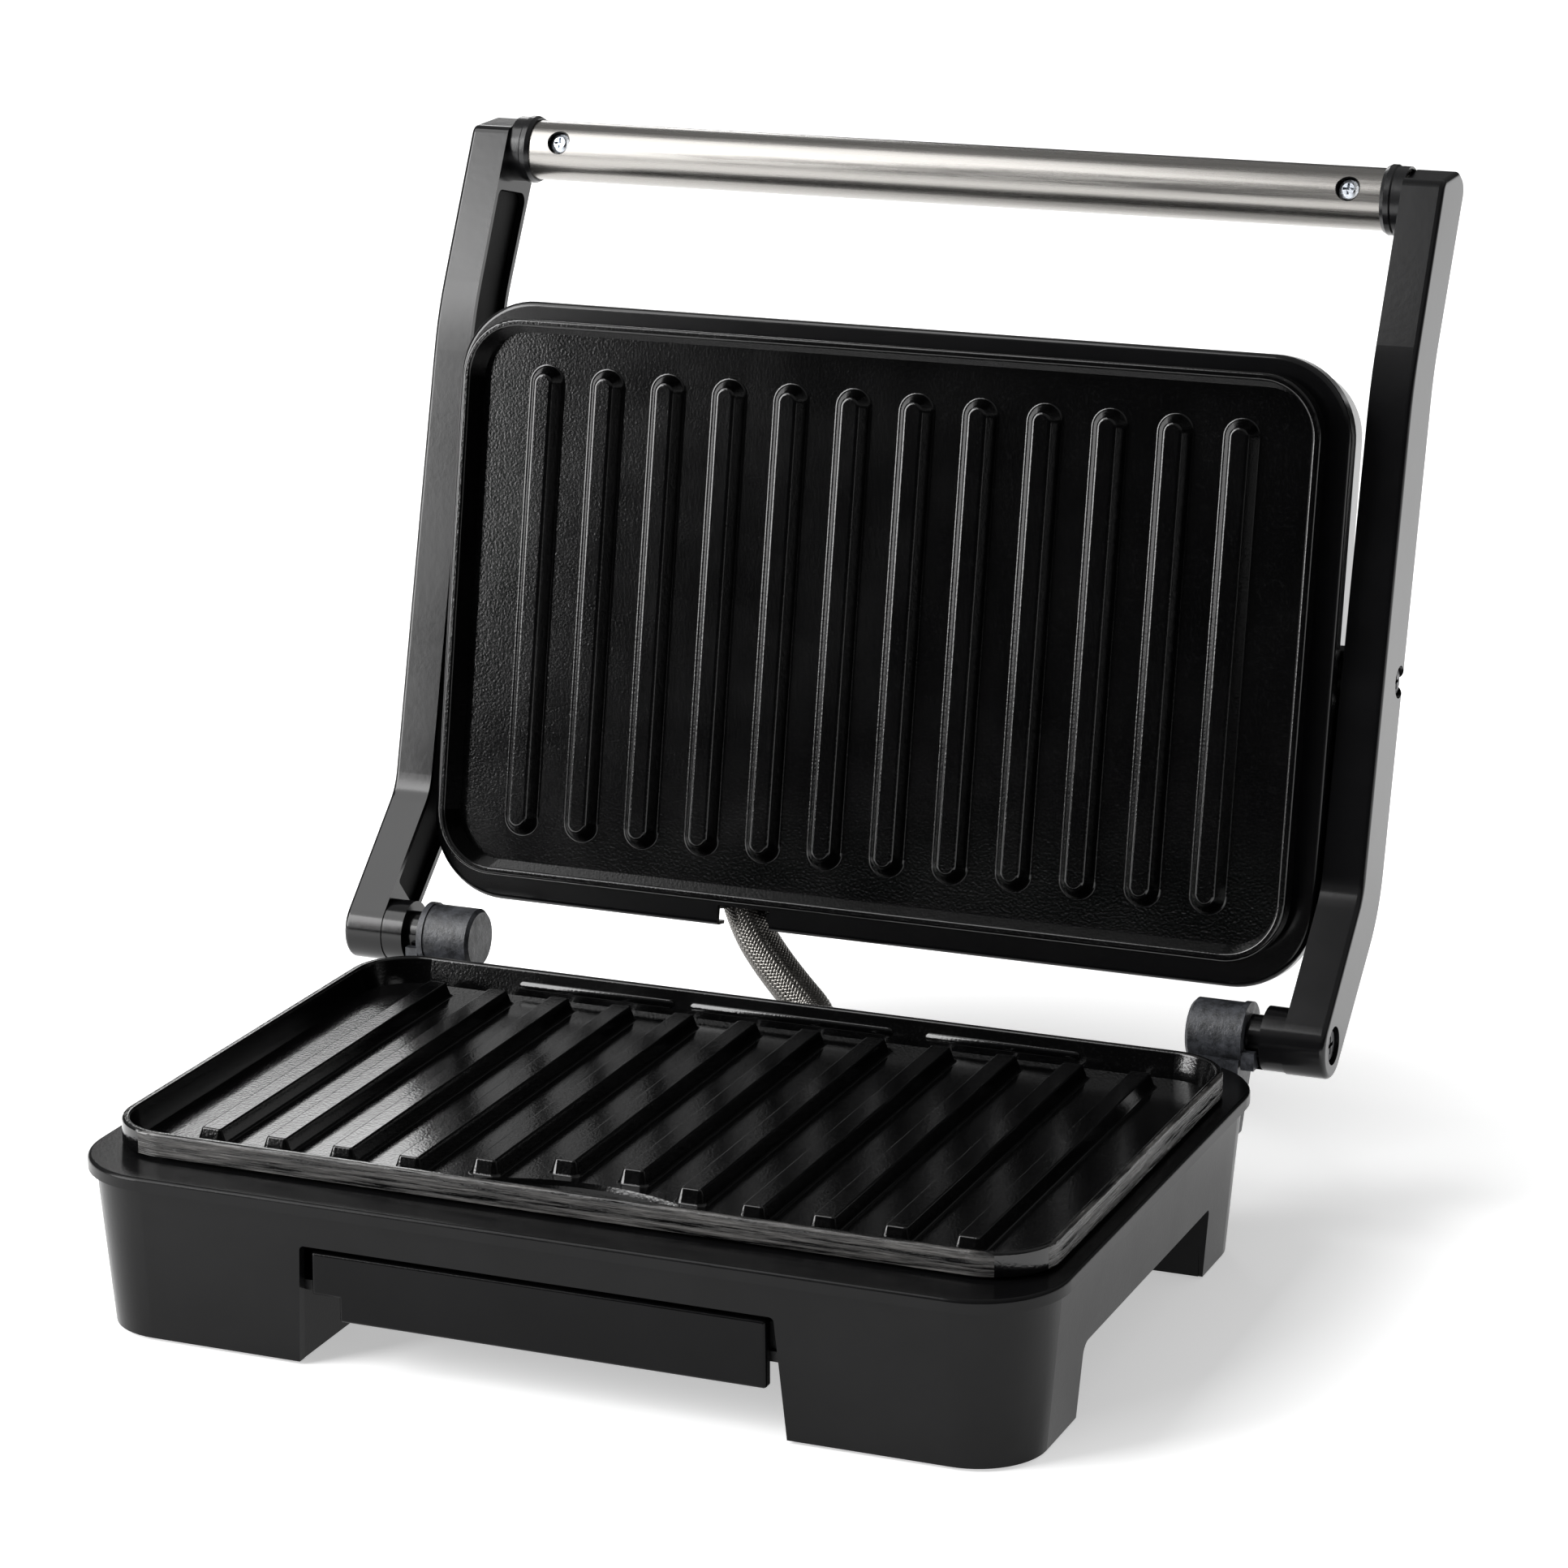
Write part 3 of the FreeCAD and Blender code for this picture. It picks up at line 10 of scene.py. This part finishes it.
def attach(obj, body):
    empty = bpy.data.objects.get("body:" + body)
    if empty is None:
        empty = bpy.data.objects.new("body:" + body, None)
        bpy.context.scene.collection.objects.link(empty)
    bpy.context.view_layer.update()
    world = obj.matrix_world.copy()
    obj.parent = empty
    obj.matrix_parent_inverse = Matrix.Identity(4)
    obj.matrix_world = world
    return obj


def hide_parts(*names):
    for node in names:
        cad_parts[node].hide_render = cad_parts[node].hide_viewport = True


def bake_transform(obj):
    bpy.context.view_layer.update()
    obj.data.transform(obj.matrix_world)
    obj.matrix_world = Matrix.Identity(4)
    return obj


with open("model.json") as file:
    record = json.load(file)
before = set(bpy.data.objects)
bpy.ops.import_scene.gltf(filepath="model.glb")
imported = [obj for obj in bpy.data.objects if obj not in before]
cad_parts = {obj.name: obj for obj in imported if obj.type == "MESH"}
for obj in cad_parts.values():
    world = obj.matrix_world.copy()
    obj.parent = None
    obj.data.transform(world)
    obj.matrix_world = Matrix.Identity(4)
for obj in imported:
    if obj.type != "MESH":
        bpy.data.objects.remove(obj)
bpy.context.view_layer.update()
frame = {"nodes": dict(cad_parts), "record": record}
nodes = frame["nodes"]
scene = bpy.context.scene
random.seed(7)

# ------------------------------------------------------------------ camera
YAW, PITCH, ROLL = 0.39181, -0.27434, -0.003
d = Vector((-math.sin(YAW) * math.cos(PITCH), math.cos(YAW) * math.cos(PITCH), math.sin(PITCH)))
r = d.cross(Vector((0, 0, 1))).normalized()
u = r.cross(d)
r, u = math.cos(ROLL) * r + math.sin(ROLL) * u, -math.sin(ROLL) * r + math.cos(ROLL) * u
cam_data = bpy.data.cameras.new("camera")
cam = bpy.data.objects.new("camera", cam_data)
scene.collection.objects.link(cam)
b = -d
cam.matrix_world = Matrix(((r.x, u.x, b.x, 0.454124), (r.y, u.y, b.y, -1.086581), (r.z, u.z, b.z, 0.443641), (0, 0, 0, 1)))
cam_data.sensor_width = 36.0
cam_data.lens = 113.23
cam_data.clip_start = 0.05
cam_data.clip_end = 50
scene.camera = cam
scene.view_settings.view_transform = "Standard"
scene.view_settings.look = "None"


# ------------------------------------------------------------------ materials
class Mat:
    """A Principled material with small helpers for procedural detail."""

    def __init__(self, name, color, rough, metallic=0.0, spec=0.5, coat=0.0, coat_rough=0.1, ior=1.5):
        self.m = bpy.data.materials.new(name)
        self.m.use_nodes = True
        self.t = self.m.node_tree
        self.p = self.t.nodes["Principled BSDF"]
        self.p.inputs["Base Color"].default_value = (*color, 1)
        self.p.inputs["Roughness"].default_value = rough
        self.p.inputs["Metallic"].default_value = metallic
        self.p.inputs["Specular IOR Level"].default_value = spec
        self.p.inputs["IOR"].default_value = ior
        self.p.inputs["Coat Weight"].default_value = coat
        self.p.inputs["Coat Roughness"].default_value = coat_rough
        self.last_normal = None
        tc = self.t.nodes.new("ShaderNodeTexCoord")
        self.obj = tc.outputs["Object"]

    def n(self, kind, **kw):
        node = self.t.nodes.new(kind)
        for k, v in kw.items():
            setattr(node, k, v)
        return node

    def link(self, a, c):
        self.t.links.new(a, c)

    def mapped(self, scale=(1, 1, 1), rot=(0, 0, 0)):
        mp = self.n("ShaderNodeMapping")
        mp.inputs["Scale"].default_value = scale
        mp.inputs["Rotation"].default_value = rot
        self.link(self.obj, mp.inputs["Vector"])
        return mp.outputs["Vector"]

    def noise(self, scale, detail=3, rough=0.55, vec=None, distortion=0.0):
        nz = self.n("ShaderNodeTexNoise")
        nz.inputs["Scale"].default_value = scale
        nz.inputs["Detail"].default_value = detail
        nz.inputs["Roughness"].default_value = rough
        nz.inputs["Distortion"].default_value = distortion
        self.link(vec if vec is not None else self.obj, nz.inputs["Vector"])
        return nz.outputs["Fac"]

    def remap(self, fac, a0, a1, b0, b1):
        mr = self.n("ShaderNodeMapRange")
        for i, v in enumerate((a0, a1, b0, b1)):
            mr.inputs[i + 1].default_value = v
        self.link(fac, mr.inputs[0])
        return mr.outputs[0]

    def math(self, op, a, c=None, clamp=False):
        mn = self.n("ShaderNodeMath", operation=op, use_clamp=clamp)
        for i, v in enumerate((a, c)):
            if v is None:
                continue
            if isinstance(v, (int, float)):
                mn.inputs[i].default_value = v
            else:
                self.link(v, mn.inputs[i])
        return mn.outputs[0]

    def bump(self, height, strength, distance):
        bp = self.n("ShaderNodeBump")
        bp.inputs["Strength"].default_value = strength
        bp.inputs["Distance"].default_value = distance
        self.link(height, bp.inputs["Height"])
        if self.last_normal is not None:
            self.link(self.last_normal, bp.inputs["Normal"])
        self.last_normal = bp.outputs["Normal"]
        self.link(self.last_normal, self.p.inputs["Normal"])

    def roughness(self, fac, lo, hi, a=0.3, c=0.7):
        self.link(self.remap(fac, a, c, lo, hi), self.p.inputs["Roughness"])

    def tint(self, fac, c0, c1, a=0.3, c=0.7):
        mx = self.n("ShaderNodeMix", data_type="RGBA")
        mx.inputs[6].default_value = (*c0, 1)
        mx.inputs[7].default_value = (*c1, 1)
        self.link(self.remap(fac, a, c, 0, 1), mx.inputs[0])
        self.link(mx.outputs[2], self.p.inputs["Base Color"])
        return mx.outputs[2]


def plate_material(name, rim=False):
    """Black non-stick coating on a casting: fine orange peel and a faint speckle."""
    m = Mat(name, (0.003, 0.003, 0.003), 0.2, spec=0.55)
    speck = m.noise(1300, 2, 0.6)
    color = m.tint(speck, (0.0007, 0.0007, 0.0008), (0.005, 0.005, 0.0052), 0.55, 0.8)
    rough = m.remap(m.noise(45, 3, 0.5), 0.3, 0.7, 0.105, 0.145)
    if rim:
        # drawn and wiped marks round the outside of the rim
        sep = m.n("ShaderNodeSeparateXYZ")
        m.link(m.obj, sep.inputs[0])
        side = m.math("GREATER_THAN", m.math("ABSOLUTE", sep.outputs[0]), 0.1172)
        ends = m.math("GREATER_THAN", m.math("ABSOLUTE", m.math("ADD", sep.outputs[1], 0.0545)), 0.0732)
        mask = m.math("MAXIMUM", side, ends)
        streak = m.remap(m.noise(1100, 4, 0.7, m.mapped((0.035, 0.035, 1.0))), 0.42, 0.72, 0, 1)
        lit = m.math("MULTIPLY", mask, streak)
        mx = m.n("ShaderNodeMix", data_type="RGBA")
        m.link(lit, mx.inputs[0])
        m.link(color, mx.inputs[6])
        mx.inputs[7].default_value = (0.13, 0.125, 0.12, 1)
        m.link(mx.outputs[2], m.p.inputs["Base Color"])
        rough = m.math("ADD", rough, m.math("MULTIPLY", lit, 0.25))
        m.bump(lit, 0.35, 0.0003)
    m.link(rough, m.p.inputs["Roughness"])
    m.bump(m.noise(1500, 2, 0.5), 0.13, 0.00022)
    m.bump(m.noise(120, 2, 0.5), 0.015, 0.0005)
    return m


def plastic(name, color, rough, fine=700, peel=0.06, spread=0.05, spec=0.5, lighter=1.6, coat=0.0):
    m = Mat(name, color, rough, spec=spec, coat=coat, coat_rough=0.08)
    m.tint(m.noise(60, 4, 0.6), color, tuple(c * lighter for c in color), 0.35, 0.75)
    m.roughness(m.noise(35, 4, 0.6), rough - spread, rough + spread)
    m.bump(m.noise(fine, 3, 0.6), peel, 0.0003)
    return m


def metal(name, color, rough, scale, stretch, strength=0.15, spread=0.08, dark=0.8, metallic=1.0):
    m = Mat(name, color, rough, metallic=metallic)
    vec = m.mapped(stretch)
    fac = m.noise(scale, 4, 0.65, vec)
    m.tint(fac, tuple(c * dark for c in color), color)
    m.roughness(fac, rough - spread, rough + spread)
    m.bump(fac, strength, 0.0002)
    return m


def hinge_material():
    """Slate painted casting with a mottled skin."""
    m = Mat("hinge_slate", (0.03, 0.032, 0.036), 0.42)
    m.tint(m.noise(330, 5, 0.75), (0.010, 0.011, 0.013), (0.060, 0.063, 0.072), 0.38, 0.66)
    m.roughness(m.noise(200, 4, 0.6), 0.34, 0.5)
    m.bump(m.noise(420, 4, 0.7), 0.45, 0.0004)
    return m


M = {}
M["grill_plate"] = plate_material("plate_coating")
M["lower_plate"] = plate_material("plate_coating_lower", True)
M["base_shell"] = plastic("base_black", (0.003, 0.003, 0.0032), 0.22, fine=1100, peel=0.08, spec=0.165)
M["arm_inside"] = plastic("arm_inside_black", (0.002, 0.002, 0.002), 0.6, fine=700, peel=0.1, spec=0.1)
M["cover_black"] = plastic("cover_black", (0.006, 0.006, 0.0065), 0.45, fine=900, peel=0.2)
M["lid_shell"] = plastic("lid_gloss_black", (0.0025, 0.0025, 0.0028), 0.15, fine=700, peel=0.02, spread=0.008)
M["arm_shell"] = plastic("arm_gloss_black", (0.003, 0.003, 0.0033), 0.16, fine=500, peel=0.03, spread=0.03, spec=0.4)
M["tray"] = plastic("tray_black", (0.002, 0.002, 0.0022), 0.2, fine=900, peel=0.08, spec=0.12)
M["foot_rubber"] = plastic("foot_rubber_black", (0.02, 0.02, 0.02), 0.7, fine=600, peel=0.25, spec=0.3)
M["hinge_metal"] = hinge_material()
M["screw_steel"] = metal("screw_zinc", (0.62, 0.66, 0.72), 0.26, 500, (1, 1, 1))
M["screw_dark"] = metal("screw_blackened", (0.05, 0.05, 0.055), 0.35, 500, (1, 1, 1))
M["handle_steel"] = metal("handle_brushed", (0.36, 0.347, 0.33), 0.27, 900, (0.02, 1, 1), 0.10, 0.05, 0.86)
M["black_plastic"] = plastic("collar_black", (0.004, 0.004, 0.0045), 0.25, fine=900, peel=0.08)
M["element_sheath"] = metal("element_grey", (0.30, 0.27, 0.24), 0.45, 400, (1, 1, 1), 0.2)
M["reflector_steel"] = metal("reflector_sheet", (0.62, 0.62, 0.63), 0.32, 600, (0.03, 1, 1))
M["control_metal"] = metal("control_plated", (0.6, 0.58, 0.52), 0.35, 300, (1, 1, 1))
M["terminal_plastic"] = plastic("terminal_ivory", (0.55, 0.50, 0.38), 0.5, fine=700, peel=0.1, lighter=1.2)
M["gland_rubber"] = plastic("gland_black", (0.015, 0.015, 0.016), 0.55, fine=700, peel=0.2)
M["braided_steel"] = metal("braid_steel", (0.24, 0.23, 0.215), 0.32, 900, (1, 1, 1), 0.1)
M["lens_red"] = plastic("lens_red", (0.35, 0.008, 0.006), 0.12, fine=200, peel=0.02, lighter=1.3)
M["lens_green"] = plastic("lens_green", (0.01, 0.22, 0.03), 0.12, fine=200, peel=0.02, lighter=1.3)

slots = {s["node"]: s["material_slot"] for s in frame["record"]["subparts"]}
for name, o in nodes.items():
    key = slots[name]
    if name == "base_bottom_cover":
        key = "cover_black"
    if name.startswith("arm_cover"):
        key = "arm_inside"
    if name == "lower_plate":
        key = "lower_plate"
    if name.startswith(("hinge_screw", "pivot_screw")):
        key = "screw_dark"
    o.data.materials.clear()
    o.data.materials.append(M[key].m)


# ------------------------------------------------------------------ helpers for new pieces
def add_mesh(name, verts, faces, mat, smooth=True):
    me = bpy.data.meshes.new(name)
    me.from_pydata(verts, [], faces)
    me.update()
    if smooth:
        me.polygons.foreach_set("use_smooth", [True] * len(me.polygons))
    o = bpy.data.objects.new(name, me)
    scene.collection.objects.link(o)
    me.materials.append(mat.m)
    return o


# ------------------------------------------------------------------ softened edges
for name, width in (("base_housing", 0.0005), ("drip_tray", 0.0004), ("rear_panel", 0.0003)):
    mod = nodes[name].modifiers.new("soft_edges", "BEVEL")
    mod.width = width
    mod.segments = 2
    mod.limit_method = "ANGLE"
    mod.angle_limit = math.radians(50)
    mod.use_clamp_overlap = True
    mod.harden_normals = True


# ------------------------------------------------------------------ embossed marks inside the lower plate's rear wall
def capsule(name, x0, x1, z, h, lift, mat):
    """Low round-ended bar on the drafted rear wall, facing the front."""
    half = h / 2
    ring = []
    for k in range(9):
        a = -math.pi / 2 + math.pi * k / 8
        ring.append((x1 - half + half * math.cos(a), half * math.sin(a)))
    for k in range(9):
        a = math.pi / 2 + math.pi * k / 8
        ring.append((x0 + half + half * math.cos(a), half * math.sin(a)))
    tilt = math.radians(14)
    wall = 0.0723 - 0.0545 - (0.0494 - z) * math.tan(tilt)
    verts, faces = [], []
    cx = (x0 + x1) / 2
    for shrink, out in ((1.0, -0.0003), (1.0, lift * 0.6), (0.8, lift)):
        for px, pz in ring:
            qx = px if shrink == 1.0 else px + (half * 0.25 if px < cx else -half * 0.25)
            qz = pz * shrink
            verts.append((qx, wall + qz * math.sin(tilt) - out * math.cos(tilt), z + qz * math.cos(tilt) + out * math.sin(tilt)))
    n = len(ring)
    for lvl in range(2):
        for k in range(n):
            a, c = lvl * n + k, lvl * n + (k + 1) % n
            faces.append((a, c, c + n, a + n))
    faces.append(tuple(range(2 * n, 3 * n)))
    o = add_mesh(name, verts, faces, mat)
    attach(o, "base")
    return o


for k, (x0, x1) in enumerate(((-0.0764, -0.0326), (-0.0280, 0.0278), (0.0366, 0.0777))):
    capsule("plate_mark_%d" % (k + 1), x0, x1, 0.0455, 0.0022, 0.0004, M["grill_plate"])

# ------------------------------------------------------------------ braided conduit
ROUTE = [(-6.5, 36.2, 24.9), (-6.5, 63.5, 24.9), (-25.5, 68.5, 40.5), (-34.9, 70.7, 52.4), (-37.9, 71.8, 62.5)]
ROUTE = [Vector(p) / 1000 for p in ROUTE]


def smooth_route(points, count):
    """Even points along the conduit: a quadratic B-spline through its run ends."""
    cu = bpy.data.curves.new("route", "CURVE")
    cu.dimensions = "3D"
    sp = cu.splines.new("NURBS")
    sp.points.add(len(points) - 1)
    for q, p in zip(sp.points, points):
        q.co = (*p, 1)
    sp.order_u = 3
    sp.use_endpoint_u = True
    sp.resolution_u = 64
    ob = bpy.data.objects.new("route", cu)
    scene.collection.objects.link(ob)
    me = bpy.data.meshes.new_from_object(ob)
    pts = [v.co.copy() for v in me.vertices]
    bpy.data.meshes.remove(me)
    bpy.data.objects.remove(ob)
    bpy.data.curves.remove(cu)
    acc = [0.0]
    for i in range(1, len(pts)):
        acc.append(acc[-1] + (pts[i] - pts[i - 1]).length)
    out, j = [], 0
    for k in range(count):
        s = acc[-1] * k / (count - 1)
        while j < len(acc) - 2 and acc[j + 1] < s:
            j += 1
        w = (s - acc[j]) / max(1e-9, acc[j + 1] - acc[j])
        out.append(pts[j].lerp(pts[j + 1], w))
    return out, acc[-1]


def frames_along(pts):
    out = []
    n = Vector((0, 0, 1))
    for i, p in enumerate(pts):
        t = (pts[min(i + 1, len(pts) - 1)] - pts[max(i - 1, 0)]).normalized()
        n = (n - t * n.dot(t)).normalized()
        out.append((p, t, n, t.cross(n)))
    return out


pts, LENGTH = smooth_route(ROUTE, 241)
fr = frames_along(pts)


def braid(name, i0, i1):
    """Woven sleeve over a core: two families of flat wire bundles, over one and under one."""
    verts, faces = [], []
    core_r, R, amp = 0.0050, 0.00530, 0.00012
    ring = 28
    for i in range(i0, i1 + 1):
        p, t, n, bn = fr[i]
        for k in range(ring):
            a = 2 * math.pi * k / ring
            verts.append(p + (n * math.cos(a) + bn * math.sin(a)) * core_r)
    for i in range(i1 - i0):
        for k in range(ring):
            a0, a1 = i * ring + k, i * ring + (k + 1) % ring
            faces.append((a0, a1, a1 + ring, a0 + ring))
    strands, pitch, half = 22, 0.024, 0.00034
    for fam in (1, -1):
        for s in range(strands):
            base = len(verts)
            for i in range(i0, i1 + 1):
                p, t, n, bn = fr[i]
                run = LENGTH * i / (len(fr) - 1)
                a = 2 * math.pi * (s / strands + fam * run / pitch)
                lift = R + amp * fam * math.cos(strands * a)
                rad = n * math.cos(a) + bn * math.sin(a)
                tan = (bn * math.cos(a) - n * math.sin(a))
                slope = 2 * math.pi * R / pitch
                along = (t + tan * fam * slope).normalized()
                side = along.cross(rad).normalized()
                c = p + rad * lift
                for w, h in ((-1, -0.4), (-0.62, 0.55), (0, 0.8), (0.62, 0.55), (1, -0.4)):
                    verts.append(c + side * w * half * 1.25 + rad * h * 0.00016)
            for i in range(i1 - i0):
                for k in range(4):
                    a0 = base + i * 5 + k
                    faces.append((a0, a0 + 1, a0 + 6, a0 + 5))
    return add_mesh(name, verts, faces, M["braided_steel"])


SPLIT = 130
lower = braid("conduit_braid_base", 0, SPLIT)
upper = braid("conduit_braid_lid", SPLIT, 240)
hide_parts("conduit")
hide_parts("conduit")
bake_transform(lower)
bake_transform(upper)

# ------------------------------------------------------------------ studio
# painted light: the floor glows though it is no lamp. Its emission is weakest close to the press and towards the
# front, and it lifts the shadow the press casts on the floor to white
paper = Mat("floor_pale_glowing", (0.90, 0.90, 0.90), 0.8, spec=0.1)
away = paper.n("ShaderNodeVectorMath", operation="LENGTH")
paper.link(paper.obj, away.inputs[0])
paper.p.inputs["Emission Color"].default_value = (1, 1, 1, 1)
place = paper.n("ShaderNodeSeparateXYZ")
paper.link(paper.obj, place.inputs[0])
paper.link(paper.math("MULTIPLY", paper.remap(away.outputs["Value"], 0.15, 0.27, 0.46, 1.0),
                      paper.remap(place.outputs[1], -0.95, -0.35, 0.10, 1.0)), paper.p.inputs["Emission Strength"])
floor = add_mesh("floor", [(-6, -4, 0), (6, -4, 0), (6, 8, 0), (-6, 8, 0)], [(0, 1, 2, 3)], paper, smooth=False)

world = bpy.data.worlds.new("studio")
scene.world = world
world.use_nodes = True
wt = world.node_tree
bg = wt.nodes["Background"]
tc = wt.nodes.new("ShaderNodeTexCoord")
sep = wt.nodes.new("ShaderNodeSeparateXYZ")
wt.links.new(tc.outputs["Generated"], sep.inputs[0])


def world_ramp(source, a0, a1, b0, b1):
    mr = wt.nodes.new("ShaderNodeMapRange")
    mr.interpolation_type = "SMOOTHSTEP"
    for k, v in enumerate((a0, a1, b0, b1)):
        mr.inputs[k + 1].default_value = v
    wt.links.new(source, mr.inputs[0])
    return mr.outputs[0]


def world_math(op, a, c):
    mn = wt.nodes.new("ShaderNodeMath")
    mn.operation = op
    for k, v in enumerate((a, c)):
        if isinstance(v, (int, float)):
            mn.inputs[k].default_value = v
        else:
            wt.links.new(v, mn.inputs[k])
    return mn.outputs[0]


# dark room round the press, a little lighter behind it and overhead, with a
# pale band just above the horizon that carries the floor on
bg.inputs["Color"].default_value = (1, 1, 1, 1)
band = world_math("MULTIPLY", world_ramp(sep.outputs[2], 0.03, 0.11, 0.9, 0.0), world_ramp(sep.outputs[1], -0.30, 0.0, 0.0, 1.0))
room = world_math("ADD", world_ramp(sep.outputs[1], -0.45, 0.15, 0.012, 0.08), world_ramp(sep.outputs[2], 0.30, 0.62, 0.0, 0.22))
wt.links.new(world_math("ADD", room, band), bg.inputs["Strength"])


def softbox(name, loc, target, w, h, power, color=(1, 1, 1)):
    li = bpy.data.lights.new(name, "AREA")
    li.shape = "RECTANGLE"
    li.size, li.size_y = w, h
    li.energy = power
    li.color = color
    o = bpy.data.objects.new(name, li)
    scene.collection.objects.link(o)
    o.location = loc
    o.rotation_euler = (Vector(target) - Vector(loc)).to_track_quat("-Z", "Y").to_euler()
    return o


softbox("overhead", (-0.96, -0.62, 1.5), (-0.96, -0.62, 0), 1.2, 1.25, 15.5)
softbox("front_left", (-1.32, -1.17, 0.95), (0.0, 0.0, 0.95), 1.02, 1.5, 48)
softbox("back_left", (-0.75, 1.35, 0.76), (-0.1, -0.06, 0.05), 0.38, 0.32, 1.6)
